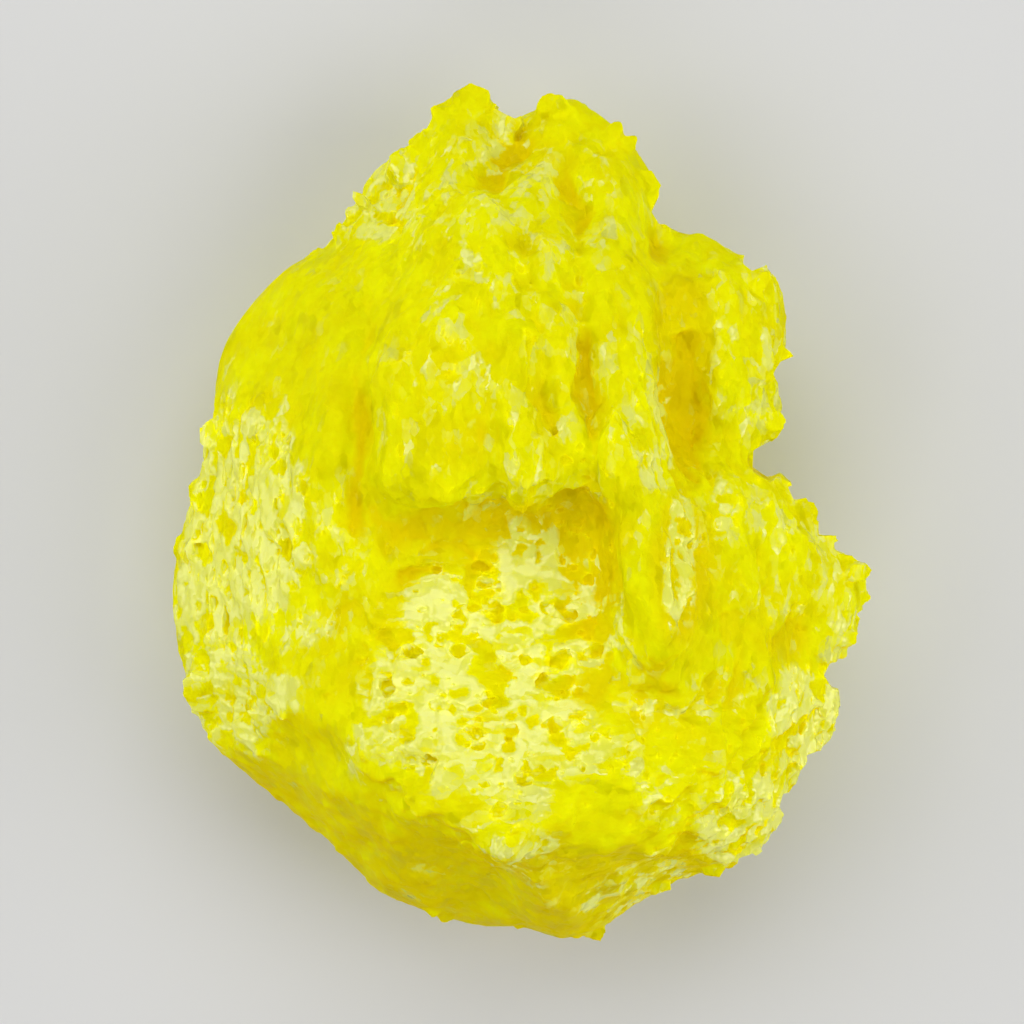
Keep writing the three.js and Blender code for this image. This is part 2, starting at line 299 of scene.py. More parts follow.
# %% Grow the large crystals
LARGE_CRYSTALS = [
    # name, root, tip, width, height, how far it stands out, outward
    ("tip of the slender rib", (0.2, 13), (1, 3), 5, 7, 0.5, (0, 0.35, 1)),
    ("tip of the second rib", (7.5, 18), (8, 5), 5.5, 6, 0.9, (0, 0.2, 1)),
    ("tip of the third rib", (14.5, 16), (14, 3.5), 5, 6, 0.9, (0.1, 0.2, 1)),
    ("tip of the left rib", (-13, 14), (-13.5, 4), 7, 7, 0.6, (0, 0.2, 1)),
    ("tip of the inner left rib", (-6, 15), (-7, 4), 5.5, 7, 0.7, (0, 0.2, 1)),
    ("bright prism", (18, 18.5), (20, 7), 2.8, 6, 1.5, (0.1, 0.35, 1)),
    ("small bright prism", (20.5, 13), (22.4, 6), 2.8, 5, 1.3, (0.1, 0.35, 1)),
    ("drop", (25, 38), (25.6, 27), 6, 6, 1.6, (0, 0.15, 1)),
    ("tongue", (17, 5), (21, -19), 10, 7, 0.7, (-0.1, 0.25, 1)),
    ("edge of the tongue", (21, 4), (25.5, -15), 4.5, 8, 1.5, (0.2, 0.35, 1)),
    ("bright strip", (30.6, 5.5), (30, -2.5), 2.2, 5, 1.0, (0.05, 0.36, 1)),
    ("first blade", (32, 6), (34, -9), 4.5, 6, 1.5, (0.2, 0.1, 1)),
    ("second blade", (37, 5), (40, -9), 4.5, 6, 1.5, (0.3, 0.1, 1)),
    ("third blade", (42, 0), (46, -12), 4.5, 6, 1.5, (0.4, 0.1, 1)),
    ("right step", (34, -15), (38, -27), 6, 6, 1.5, (0.3, 0.1, 1)),
    ("inner fin", (31, 38), (31, 22), 7, 6, 1.0, (0, 0.2, 1)),
    ("outer fin", (37, 34), (38, 17), 5.5, 6, 1.2, (0.3, 0.1, 1)),
    ("plate of the right knob", (41, -25), (42, -34), 7, 5, 0.8, (0.5, 0, 1)),
    ("plate over the pitted face", (-9, -14), (7, -17), 6, 5, 0.8, (0.02, 0.38, 1)),
]

crystals = bmesh.new()
rng = random.Random(5)
for _, root, tip, width, height, standing, outward in LARGE_CRYSTALS:
    root_point, _ = core_skin(*root)
    tip_point, _ = core_skin(*tip)
    facing = Vector(outward).normalized()
    along = tip_point - root_point
    middle = (root_point + tip_point) / 2
    skin_point, _ = core_skin(middle.x / MM, middle.y / MM)
    middle.z = max(middle.z, skin_point.z)
    middle += facing * (standing - height / 2) * MM
    add_crystal(crystals, middle, along, facing, (along.length / MM, width, height), rng)
print("faces of the large crystals:", len(crystals.faces))

# %% [markdown]
# ## Patches of crystals
#
# The rest of the crystals are scattered, patch by patch: short and crowded on the ribs, along the
# fin and round the right tip, and small all round the rim, where they make the outline ragged.
# Each takes the facing of its zone and stands a little way out of the skin, and the furrows
# between the ribs stay free.

# %% Scatter the patches
PATCHES = [
    # name, middle, half size, how many, length, width, height, along, share of own facing
    ("crown", (1, 40), (18, 20), 170, (3, 8), (1.5, 3.5), (2, 3), (0, -1, 0), 0.8),
    ("peaks", (1, 57), (16, 8), 110, (2, 4.5), (1.5, 3.5), (2, 3), (0, -1, 0), 0.8),
    ("left crest", (-20, 49), (8, 9), 70, (2, 5), (1.6, 3.6), (1.5, 3), (0.5, -1, 0), 0.6),
    ("left ribs", (-12, 14), (9, 16), 140, (2.5, 7), (1.5, 3.5), (2, 3), (0, -1, 0), 0.7),
    ("slender ribs", (6, 18), (11, 18), 180, (2.5, 7), (1.4, 3), (2, 3), (0, -1, 0), 0.7),
    ("edge of the massif", (20, 28), (3, 22), 90, (2, 5), (1.4, 3), (2, 3), (0, -1, 0), 0.6),
    ("tongue", (20, -8), (6, 13), 60, (2.5, 6), (1.6, 3.6), (2, 3), (0.1, -1, 0), 0.6),
    ("fin", (35, 25), (9, 19), 150, (2, 6), (1.5, 3.5), (1.5, 3), (0, -1, 0), 0.7),
    ("blades", (36, -4), (12, 13), 150, (4, 11), (1.5, 3), (2, 3.4), (0.35, -1, 0), 0.4),
    ("right tip", (47, -12), (8, 14), 130, (2, 6), (1.4, 3.4), (1.5, 3), (0.35, -1, 0), 0.5),
    ("right knob", (44, -31), (8, 9), 50, (2.5, 6), (2, 5), (1.5, 3), (0.2, -1, 0), 0.4),
    ("lower right", (26, -36), (15, 14), 120, (3, 7), (2.5, 5), (1.5, 3), (0.2, -1, 0), 0.4),
    ("lower right corner", (36, -46), (9, 9), 60, (2.5, 6), (2, 5), (1.5, 3), (0.2, -1, 0), 0.5),
    ("shelf lip", (-3, -43), (26, 6), 70, (3, 7), (2.5, 5), (1.5, 3), (1, -0.2, 0), 0.7),
    ("pitted face", (-3, -26), (17, 19), 60, (5, 10), (4, 8), (1.5, 2.4), (1, 0, 0), 0.1),
    ("left flank", (-43, -2), (10, 21), 50, (5, 9), (3, 6), (1.2, 2.2), (0, -1, 0), 0.4),
    ("inner flank", (-28, -5), (7, 20), 60, (4, 8), (3, 5), (1.2, 2.4), (0.2, -1, 0), 0.8),
    ("striated corner", (-44, -28), (8, 8), 50, (6, 12), (1, 2.4), (1, 2), (1, -0.2, 0), 0.9),
    ("under-flank", (-8, -52), (34, 10), 60, (6, 12), (4, 8), (1, 2), (0.2, -1, -0.4), 0.95),
]


SUNK_SHARE = (-0.46, -0.2)  # where a crystal's middle is, in heights from the skin
FREE_FURROW = 0.35  # mm


def scatter(cluster, patch, skin, rng):
    """Add one patch's crystals to the cluster."""
    _, middle, half, count, lengths, widths, heights, along, own_share = patch
    for _ in range(count):
        angle = rng.uniform(0, 2 * math.pi)
        reach = math.sqrt(rng.random())
        x = middle[0] + half[0] * reach * math.cos(angle)
        y = middle[1] + half[1] * reach * math.sin(angle)
        size = (rng.uniform(*lengths), rng.uniform(*widths), rng.uniform(*heights))
        jitter = Vector([rng.gauss(0, 0.1) for _ in range(3)])
        standing = rng.uniform(*SUNK_SHARE) * size[2]
        point, normal = skin(x, y)
        if point is None or normal.z < 0.1 or furrow_depth(x, y) > FREE_FURROW:
            continue
        zone_facing = Vector(zone_facings(np.array([[x, y]]))[0])
        facing = (zone_facing.lerp(normal, own_share) + jitter).normalized()
        add_crystal(cluster, point + facing * standing * MM, Vector(along), facing, size, rng)


rng = random.Random(7)
for patch in PATCHES:
    scatter(crystals, patch, core_skin, rng)
print("faces of all crystals:", len(crystals.faces))

# %% [markdown]
# ## Fuse the crystals into the mass
#
# Where real crystals touch, they share one skin. Joining the crystals to the core and remeshing
# the whole finely gives the same result, and keeps the undercuts beneath them.

# %% Fuse the crystals
SKIN_VOXEL = 0.38 * MM


def join_in(piece, cluster):
    """Add the cluster's faces to the piece, and fuse the two into one skin."""
    loose = bpy.data.meshes.new("loose")
    cluster.to_mesh(loose)
    cluster.free()
    joined = bmesh.new()
    joined.from_mesh(piece.data)
    joined.from_mesh(loose)
    bpy.data.meshes.remove(loose)
    joined.to_mesh(piece.data)
    joined.free()
    fuse(piece, SKIN_VOXEL)


join_in(core, crystals)
relax(core, rounds=1)
print("fused faces:", len(core.data.polygons))

# %% [markdown]
# ## Facets
#
# Crystals that grew side by side share their directions, so a real face of sulfur is a stair of
# small flats that all face the same way and flash together. To make it, the skin is divided into
# cells, each cell gets one plane through its middle, and its corners are moved onto that plane.
# Where two cells meet there is a small step. Large cells go first, and small ones roughen them.
# The back and the smooth shoulder hardly move.

# %% Divide the skin into cells
def means(cells, count, values):
    """The mean of the values over the corners of each cell."""
    share = np.maximum(np.bincount(cells, minlength=count), 1)
    return np.stack([np.bincount(cells, column, count) / share for column in values.T], axis=1)


def nearest_cells(place, count, stretch, rng):
    """Scatter cells over the corners: the cell of every corner. The borders stray a little."""
    stretched = (place + 0.4 * strays(place, 1.2)) * stretch
    tree = KDTree(count)
    for index, corner in enumerate(rng.choice(len(place), count, replace=False)):
        tree.insert(stretched[corner], index)
    tree.balance()
    return np.array([tree.find(p)[1] for p in stretched])


# %% Cut the skin into facets
def cut_facets(piece, count, stretch, tilt, most, seed):
    """Divide the skin into this many cells and flatten each, by at most this many mm."""
    place, facing = corner_arrays(piece.data)
    rng = np.random.default_rng(seed)
    cells = nearest_cells(place, count, stretch, rng)
    flat = zone_values(place, FLAT, strays(place, 9))[:, None]
    wanted = facing * (1 - flat) + zone_facings(place) * flat
    unruly = tilt * (1 - 0.9 * means(cells, count, flat))
    planes = means(cells, count, wanted) + rng.normal(0, 1, (count, 3)) * unruly
    planes /= np.linalg.norm(planes, axis=1)[:, None]
    lift = np.einsum("ij,ij->i", (means(cells, count, place)[cells] - place), planes[cells])
    front = np.clip((place[:, 2] - 8) / 10, 0.15, 1)
    shoulder = 1 - nearness(place, *SMOOTH_SHOULDER)
    lift = np.clip(lift, -most, most) * front * shoulder * (0.45 + 0.55 * flat[:, 0])
    move_corners(piece.data, place + planes[cells] * lift[:, None])
    print("cells:", count, "mean move, mm:", round(float(np.abs(lift).mean()), 3))


cut_facets(core, count=1600, stretch=(1, 0.5, 1), tilt=0.1, most=0.8, seed=1)
cut_facets(core, count=7000, stretch=(1, 0.6, 1), tilt=0.2, most=0.35, seed=2)

# %% [markdown]
# ## Lost plates
#
# On a glassy face some plates are whole and others are lost, and the skin lies half a millimetre
# lower there and is dull. So the glassy zones get a second set of cells, each whole or lost. We
# remember the whole ones, because only they will shine.

# %% Lose some plates
PLATE_LOSS = 0.55  # mm


def lose_plates(piece, count, stretch, whole_share, seed):
    """Sink the lost plates, and return how whole the plate is at each corner."""
    place, facing = corner_arrays(piece.data)
    rng = np.random.default_rng(seed)
    cells = nearest_cells(place, count, stretch, rng)
    whole = (rng.random(count) < whole_share)[cells]
    pitted = zone_values(place, PITTED, strays(place, 9)) * (facing[:, 2] > 0.2)
    depth = PLATE_LOSS * pitted * ~whole
    move_corners(piece.data, place - facing * depth[:, None])
    print("whole share:", round(float(whole.mean()), 2))
    return whole


whole_plates = lose_plates(core, count=4000, stretch=(0.7, 1, 1), whole_share=0.82, seed=3)
whole_plates &= lose_plates(core, count=14000, stretch=(1, 1, 1), whole_share=0.94, seed=4)
plate_place = corner_arrays(core.data)[0]

# %% [markdown]
# ## Terraces
#
# The corner low on the left is striated: it grew in fine steps across the specimen. A saw-tooth
# along Y, bent a little by noise, gives the steps.

# %% Cut the terraces
TERRACE_PLACE = ((-45, -29), (11, 10))
TERRACE_RISE, TERRACE_TREAD = 0.4, 2.1  # mm


def cut_terraces(piece):
    """Raise and lower the skin by a saw-tooth along Y."""
    place, facing = corner_arrays(piece.data)
    here = nearness(place, *TERRACE_PLACE)
    lift = np.zeros(len(place))
    for index in np.nonzero(here > 0.02)[0]:
        x, y, z = place[index]
        step = (y + 0.15 * x + 1.2 * noise.noise(Vector((x / 6, y / 6, z / 6)))) / TERRACE_TREAD
        lift[index] = TERRACE_RISE * (step - math.floor(step) - 0.5) * here[index]
    move_corners(piece.data, place + facing * lift[:, None])
    print("corners in the terraces:", int((here > 0).sum()))


cut_terraces(core)

# %% [markdown]
# ## Teeth and notches round the rim
#
# Seen against the light the rim is ragged: small blunt crystals stand out of it like teeth, most
# of all on the right and round the crown, and between some of them the rim is notched. Both are
# set where the outline, seen from above, is: rays shot inwards at many heights find the widest
# place. A tooth stands upright, so that its many-sided plan shows in the outline.

# %% Find the rim
MASS_MIDDLE = Vector((0, -5 * MM, 0))
SCANNED_HEIGHTS = range(8, 46, 2)  # mm


def rim_finder(piece):
    """Return a function that gives the widest point of the piece at a bearing, in radians."""
    tree = BVHTree.FromObject(piece, bpy.context.evaluated_depsgraph_get())

    def rim_at(bearing):
        outwards = Vector((math.cos(bearing), math.sin(bearing), 0))
        hits = []
        for height in SCANNED_HEIGHTS:
            start = MASS_MIDDLE + outwards * 0.2 + Vector((0, 0, height * MM))
            point = tree.ray_cast(start, -outwards)[0]
            if point is not None:
                hits.append((point.dot(outwards), point))
        return max(hits, key=lambda hit: hit[0])[1], outwards

    return rim_at


rim_at = rim_finder(core)
print("rim at bearing 0, mm:", [round(c / MM, 1) for c in rim_at(0)[0]])

# %% Set the teeth
RIM_STRETCHES = [
    # name, bearings in degrees, how many, width, how far they stand out
    ("right tip and blades", (-28, 18), 26, (2.6, 6), (-0.6, 0.5)),
    ("fin", (18, 52), 18, (2.6, 6), (-0.5, 0.4)),
    ("crown", (60, 108), 30, (3, 6), (-0.5, 0.3)),
    ("left crest", (106, 128), 12, (2.4, 5), (-0.5, 0.3)),
    ("left flank", (146, 205), 24, (4, 8), (-0.7, 0.0)),
    ("lower left", (205, 250), 8, (3, 7), (-0.5, 0.1)),
    ("lower right", (-62, -28), 18, (3, 6), (-0.5, 0.4)),
    ("foot", (250, 298), 12, (3, 7), (-0.5, 0.3)),
    ("left peak", (94, 101), 6, (6, 9), (-0.4, 0.1)),
]
TOOTH_LENGTHS, TOOTH_HEIGHTS = (5, 8), (6, 12)  # mm, into the mass and upright
TOOTH_SUNK = 0.56  # share of its length

teeth = bmesh.new()
rng = random.Random(13)
for _, bearings, count, widths, standing in RIM_STRETCHES:
    for _ in range(count):
        point, outwards = rim_at(math.radians(rng.uniform(*bearings)))
        size = (rng.uniform(*TOOTH_LENGTHS), rng.uniform(*widths), rng.uniform(*TOOTH_HEIGHTS))
        jitter = Vector([rng.gauss(0, 0.16) for _ in range(3)])
        turn = Vector((-outwards.y, outwards.x, 0)) * rng.gauss(0, 0.3)
        middle = point + outwards * (rng.uniform(*standing) - size[0] * TOOTH_SUNK) * MM
        up = (Vector((0, 0, 1)) + outwards * 0.3 + jitter).normalized()
        add_crystal(teeth, middle, outwards + turn, up, size, rng)
print("faces of the teeth:", len(teeth.faces))

join_in(core, teeth)
print("faces after the last fuse:", len(core.data.polygons))

# %% [markdown]
# ## Pits and notches
#
# The glassy faces are eaten away by pits of half a millimetre to three, with ragged edges, and
# the rim by notches. All are cut at once: lopsided balls half sunk in the skin, and upright
# prisms that bite into the rim.

# %% Scatter the pits
PIT_PATCHES = [
    # name, middle, half size, how many, radius, how much longer down the specimen
    ("pitted face", (-3, -24), (17, 19), 130, (0.4, 1.9), 0.7),
    ("left flank", (-42, -1), (10, 20), 130, (0.35, 1.0), 2.3),
    ("inner flank", (-29, -5), (6, 15), 20, (0.4, 0.9), 1.6),
    ("right knob", (45, -31), (7, 9), 40, (0.35, 0.9), 1.6),
    ("lower right", (25, -38), (16, 12), 50, (0.4, 1.1), 1.2),
    ("lower right corner", (37, -45), (8, 7), 30, (0.35, 1.0), 1.5),
    ("left crest", (-20, 48), (6, 7), 20, (0.35, 0.9), 1.5),
    ("ribs", (0, 20), (20, 20), 60, (0.3, 0.8), 1.8),
    ("below the ribs", (10, 0), (5, 10), 24, (0.5, 1.2), 0.8),
    ("fin and blades", (36, 5), (10, 32), 40, (0.3, 0.8), 1.8),
]
PIT_DEPTH, PIT_RAISED = 0.6, 0.12  # in radii: half its height, and its middle above the skin


def add_pit(cutters, point, normal, radius, longer, rng):
    """Add a lopsided ball that sits half in the skin."""
    place = Matrix.Translation(point + normal * radius * PIT_RAISED * MM)
    place = place @ Matrix.Rotation(rng.uniform(-0.5, 0.5), 4, "Z")
    place = place @ Matrix.Diagonal((radius * MM, radius * longer * MM, radius * PIT_DEPTH * MM, 1))
    ball = bmesh.ops.create_icosphere(cutters, subdivisions=2, radius=1, matrix=place)
    for vert in ball["verts"]:
        vert.co += Vector([rng.uniform(-0.25, 0.25) * radius * MM for _ in range(3)])


pits = bmesh.new()
fused_skin = skin_finder(core)
rng = random.Random(11)
for _, middle, half, count, radii, longer in PIT_PATCHES:
    for _ in range(count):
        angle = rng.uniform(0, 2 * math.pi)
        reach = math.sqrt(rng.random())
        radius = radii[0] + (radii[1] - radii[0]) * rng.random() ** 2
        point, normal = fused_skin(
            middle[0] + half[0] * reach * math.cos(angle),
            middle[1] + half[1] * reach * math.sin(angle),
        )
        if point is not None:
            add_pit(pits, point, normal, radius, longer, rng)
print("faces of the pits:", len(pits.faces))

# %% Add the notches
NOTCHES = [
    # place on the rim, width, how deep
    ((21.7, 42.9), 5, 2.4), ((34.9, 37.2), 3.4, 1.8), ((39.6, 20.6), 3.4, 1.4),
    ((38.4, 8.2), 5, 2.2), ((41.8, 3.4), 3, 2.0), ((45.4, -2.0), 3, 2.2),
    ((47.8, -4.8), 2.4, 1.5), ((52.9, -15.2), 2.4, 1.4), ((49.4, -24.4), 4, 2.6),
    ((46, -37.6), 3.4, 1.6), ((42.3, -44.2), 4, 1.6), ((35.6, -53.6), 4.5, 1.8),
    ((19.6, 56.4), 2.6, 1.2), ((22.6, 48), 2.4, 1.2), ((14.8, 61.8), 2.4, 0.9),
    ((0, 60.9), 7, 2.6), ((-16.4, 58.8), 2.6, 1.2), ((-14.4, 60), 4, 2.2),
    ((-22.2, 52.2), 2.6, 1.1), ((-27.9, 43), 3.4, 1.4), ((-47.6, 14), 2.4, 1.0),
]
NOTCH_LENGTH, NOTCH_MIDDLE, NOTCH_HEIGHT = 6, 30, 46  # mm

rim_at = rim_finder(core)
for (x, y), width, depth in NOTCHES:
    bearing = math.atan2(y - MASS_MIDDLE.y / MM, x - MASS_MIDDLE.x / MM)
    point, outwards = rim_at(bearing)
    middle = point + outwards * (NOTCH_LENGTH / 2 - depth) * MM
    middle.z = NOTCH_MIDDLE * MM
    down = Vector((0, 0, -1)) + outwards * 0.08
    size = (NOTCH_LENGTH, width * 1.2, NOTCH_HEIGHT)
    add_crystal(pits, middle, outwards, down, size, rng)
print("faces of the pits and notches:", len(pits.faces))

# %% Cut them out
cutter = as_object(pits, "pit_cutter")
fuse(cutter, voxel=0.25 * MM)
cut = core.modifiers.new("pits", "BOOLEAN")
cut.operation = "DIFFERENCE"
cut.solver = "MANIFOLD"
cut.object = cutter
apply_modifiers(core)
bpy.data.objects.remove(cutter)
print("faces with pits:", len(core.data.polygons))

# %% [markdown]
# ## Keep the piece light
#
# The back and the smooth shoulder need far fewer faces than the pitted front. Collapsing the
# edges that matter least keeps the detail, and brings the piece under its limit of triangles.

# %% Drop what isn't attached
def islands_of(mesh):
    """The groups of vertices that hang together, the smallest first."""
    seen = set()
    islands = []
    for start in mesh.verts:
        if start in seen:
            continue
        island = [start]
        seen.add(start)
        for vert in island:
            for edge in vert.link_edges:
                other = edge.other_vert(vert)
                if other not in seen:
                    seen.add(other)
                    island.append(other)
        islands.append(island)
    return sorted(islands, key=len)


whole = bmesh.new()
whole.from_mesh(core.data)
bmesh.ops.triangulate(whole, faces=whole.faces)
crumbs = islands_of(whole)[:-1]
bmesh.ops.delete(whole, geom=[vert for island in crumbs for vert in island], context="VERTS")
whole.to_mesh(core.data)
whole.free()
print("islands dropped:", len(crumbs))

# %% Thin the mesh
TRIANGLE_TARGET = 192000
SHARP_EDGE = 38  # degrees

thin = core.modifiers.new("thin", "DECIMATE")
thin.ratio = min(1, TRIANGLE_TARGET / len(core.data.polygons))
apply_modifiers(core)
core.data.shade_smooth()
core.data.set_sharp_from_angle(angle=math.radians(SHARP_EDGE))
print("triangles:", len(core.data.polygons))

# %% [markdown]
# ## How deep each spot lies
#
# In hollows the light bounces from yellow to yellow and turns golden, and here that golden shade
# is painted into the colour. The material needs to know where the hollows are, so every corner is
# compared with a strongly smoothed copy of the mass: where the copy runs above the real skin, the
# skin lies in a hollow. Two amounts of smoothing find the small hollows and the large ones. The
# same golden shade is painted where the skin faces the foot, where hardly any light comes from,
# and on a few listed places as well.

# %% Measure the hollows
def hollow_depths(data, rounds):
    """How far each corner lies under the smoothed skin, in mm."""
    place, facing = corner_arrays(data)
    edges = np.empty(len(data.edges) * 2, np.int32)
    data.edges.foreach_get("vertices", edges)
    first, second = edges.reshape(-1, 2).T
    count = len(place)
    degree = np.bincount(first, minlength=count) + np.bincount(second, minlength=count)
    smooth = place.copy()
    for _ in range(rounds):
        for axis in range(3):
            total = np.bincount(first, smooth[second, axis], count)
            total += np.bincount(second, smooth[first, axis], count)
            smooth[:, axis] = total / degree
    return np.einsum("ij,ij->i", smooth - place, facing)


PIT_SCALE, TROUGH_SCALE = 0.35, 1.5  # mm of depth that count as 1

in_pits = hollow_depths(core.data, rounds=12) / PIT_SCALE
in_troughs = hollow_depths(core.data, rounds=240) / TROUGH_SCALE
print("deepest pit and trough:", round(float(in_pits.max()), 2), round(float(in_troughs.max()), 2))

# %% Mark the painted golden shade
# painted golden shade on the tongue, the right trough, the floor of the hollow and the keel
SHADED_PLACES = [((24, -8), (5, 11)), ((25, 24), (5, 15)), ((2, -3), (15, 5)), ((6, -57), (6, 8))]
PIT_SHADE, PLACE_SHADE = 0.22, 0.6
FOOT_BORDER = -20  # mm along Y


def store(name, values):
    """Keep one number per corner, from 0 to 1, for the material to read."""
    layer = core.data.attributes.new(name, "FLOAT", "POINT")
    layer.data.foreach_set("value", np.clip(values, 0, 1).astype(np.float32))
    print(name, "mean", round(float(values.mean()), 3), "spread", round(float(values.std()), 3))


corners, facings = corner_arrays(core.data)
# golden shade painted into the colour: in pits, in troughs, on faces turned to the foot and on the
# listed places
foot_shade = 1.6 * (-facings[:, 1] - 0.3) * (corners[:, 1] < FOOT_BORDER)
in_shaded_places = PLACE_SHADE * np.max([nearness(corners, *where) for where in SHADED_PLACES], axis=0)
store("painted_gold_shade", np.maximum.reduce([in_pits * PIT_SHADE, in_troughs, foot_shade, in_shaded_places]))

# %% [markdown]
# ## Where the skin is glassy
#
# Some faces of the specimen are clear and glassy, and others, like the smooth shoulder, are quite
# matte. The zones say where, only whole plates shine, and inside a pit nothing does. The same
# mask also paints a pale sheen into the colour. The plates run down the specimen, but on a few
# bedded faces they lie across it, and that is marked too.

# %% Mark the glassy places and their painted sheen
def carried_over(old_place, values, new_place):
    """Each new corner takes the value of the nearest old one."""
    tree = KDTree(len(old_place))
    for index, point in enumerate(old_place):
        tree.insert(point, index)
    tree.balance()
    return values[[tree.find(point)[1] for point in new_place]]


# the pitted face, the striated corner and the lower right
BEDDED_PLACES = [((-4, -24), (20, 23)), ((-45, -28), (10, 9)), ((20, -38), (20, 14))]
DULL_PIT = 0.6

whole_here = carried_over(plate_place, whole_plates, corners)
# how glassy each corner is: it sets the coat, and the pale sheen painted into the colour
glassy_and_sheen = zone_values(corners, GLASSY_AND_SHEEN, strays(corners, 11)) * (facings[:, 2] > 0) * whole_here
store("glassy_and_sheen", glassy_and_sheen * (in_pits < DULL_PIT))
store("bedded", np.max([nearness(corners, *where) > 0.5 for where in BEDDED_PLACES], axis=0))

# %% [markdown]
# ## Short ways to add a node
#
# The look is made of a few kinds of node, used again and again. A small class that adds each kind
# and returns what comes out of it lets the recipe further down read like sums.

# %% A class that adds nodes
class Recipe:
    """The nodes of one material. Each method adds a node and returns its output."""

    def __init__(self, name):
        self.material = bpy.data.materials.new(name)
        self.material.use_nodes = True
        self.nodes = self.material.node_tree.nodes
        self.link = self.material.node_tree.links.new
        self.shader = self.nodes["Principled BSDF"]
        self.shader.subsurface_method = "BURLEY"
        self.place = self.nodes.new("ShaderNodeTexCoord").outputs["Object"]

    def stretched(self, place, stretch):
        node = self.nodes.new("ShaderNodeMapping")
        node.inputs["Scale"].default_value = stretch
        self.link(place, node.inputs["Vector"])
        return node.outputs["Vector"]

    def noise(self, scale, detail=4, roughness=0.6, stretch=(1, 1, 1), output="Fac"):
        node = self.nodes.new("ShaderNodeTexNoise")
        node.inputs["Scale"].default_value = scale
        node.inputs["Detail"].default_value = detail
        node.inputs["Roughness"].default_value = roughness
        self.link(self.stretched(self.place, stretch), node.inputs["Vector"])
        return node.outputs[output]

    def ramp(self, value, *stops):
        node = self.nodes.new("ShaderNodeValToRGB")
        for element, (position, colour) in zip(node.color_ramp.elements, stops):
            element.position = position
            element.color = (*colour, 1)
        self.link(value, node.inputs["Fac"])
        return node.outputs["Color"]

    def attribute(self, name):
        node = self.nodes.new("ShaderNodeAttribute")
        node.attribute_name = name
        return node.outputs["Fac"]

    def mix(self, factor, first, second):
        node = self.nodes.new("ShaderNodeMix")
        node.data_type = "RGBA"
        self.link(factor, node.inputs["Factor"])
        self.link(first, node.inputs["A"])
        self.link(second, node.inputs["B"])
        return node.outputs["Result"]

    def maths(self, operation, first, second):
        node = self.nodes.new("ShaderNodeMath")
        node.operation = operation
        for socket, value in zip(node.inputs, (first, second)):
            if isinstance(value, (int, float)):
                socket.default_value = value
            else:
                self.link(value, socket)
        return node.outputs[0]

    def vector_maths(self, operation, first, second):
        node = self.nodes.new("ShaderNodeVectorMath")
        node.operation = operation
        self.link(first, node.inputs[0])
        if isinstance(second, tuple):
            node.inputs[1].default_value = second
        else:
            self.link(second, node.inputs[1])
        return node.outputs["Value"] if operation == "DOT_PRODUCT" else node.outputs["Vector"]


recipe = Recipe("sulfur")
print("nodes to start with:", len(recipe.nodes))

# %% [markdown]
# ## Plates too small to model
#
# Between the facets of the mesh, the real faces are broken into plates of a millimetre or two,
# each tilted a few degrees its own way, so that one flashes while the next stays dark. They are
# too many to model, so the material makes them: each cell of a Voronoi texture is one plate, and
# its random colour gives the plate's tilt and its luck, which says whether it is clear or dull,
# and how pale the painted sheen on it is.
# Their borders are made ragged by a fine noise. On the bedded faces they lie across.

# %% Tilted plates
HALF = (0.5, 0.5, 0.5)
RAGGED = (0.0014, 0.0014, 0.0014)
PLATE_SIZES = [
    # cells per metre, stretch of the upright ones, stretch of the lying ones
    (420, (1, 0.45, 1), (0.5, 1, 1)),
    (1000, (1, 0.5, 1), (0.35, 1.2, 1)),
]


def plates(place, scale, stretch):
    """The tilt and the luck of every plate, both from -0.5 to 0.5."""
    cells = recipe.nodes.new("ShaderNodeTexVoronoi")
    cells.inputs["Scale"].default_value = scale
    recipe.link(recipe.stretched(place, stretch), cells.inputs["Vector"])
    tilt = recipe.vector_maths("SUBTRACT", cells.outputs["Color"], HALF)
    return tilt, recipe.vector_maths("DOT_PRODUCT", tilt, (1, 0, 0))


push = recipe.vector_maths("SUBTRACT", recipe.noise(600, 4, 0.5, output="Color"), HALF)
strayed = recipe.vector_maths("ADD", recipe.place, recipe.vector_maths("MULTIPLY", push, RAGGED))
bedded = recipe.attribute("bedded")
tilts, lucks = [], []
for scale, upright_stretch, lying_stretch in PLATE_SIZES:
    upright = plates(strayed, scale, upright_stretch)
    lying = plates(strayed, scale, lying_stretch)
    tilts.append(recipe.mix(bedded, upright[0], lying[0]))
    lucks.append(recipe.mix(bedded, upright[1], lying[1]))
print("sizes of plate:", len(tilts))

# %% [markdown]
# ## The look of sulfur
#
# Sulfur lets light in for a millimetre or two and gives it back bright yellow, so most of its
# colour comes from below the skin: subsurface scattering, with red and green going far and blue
# lost at once. It is lemon on the open faces, and in the hollows a golden shade is painted into
# the colour. On glassy plates it has a coat with sulfur's high index of refraction, and its colour
# turns pale there: partly milky whiteness, partly a painted sheen. How glassy a zone is only sets
# the chance: the plate's own luck and some clouds decide. The light's path below the skin could
# be followed step by step, but it is so short here that a formula does as well.

# %% Colour with painted shade and sheen, and shine
LEMON = (0.35, (0.84, 0.79, 0.0006)), (0.6, (0.905, 0.915, 0.001))
# gold: the colour of the painted shade, also reached in random spots by the tint
SHADE_AND_TONE_GOLD = (0.3, (0.80, 0.62, 0.0004)), (0.7, (0.86, 0.73, 0.0005))
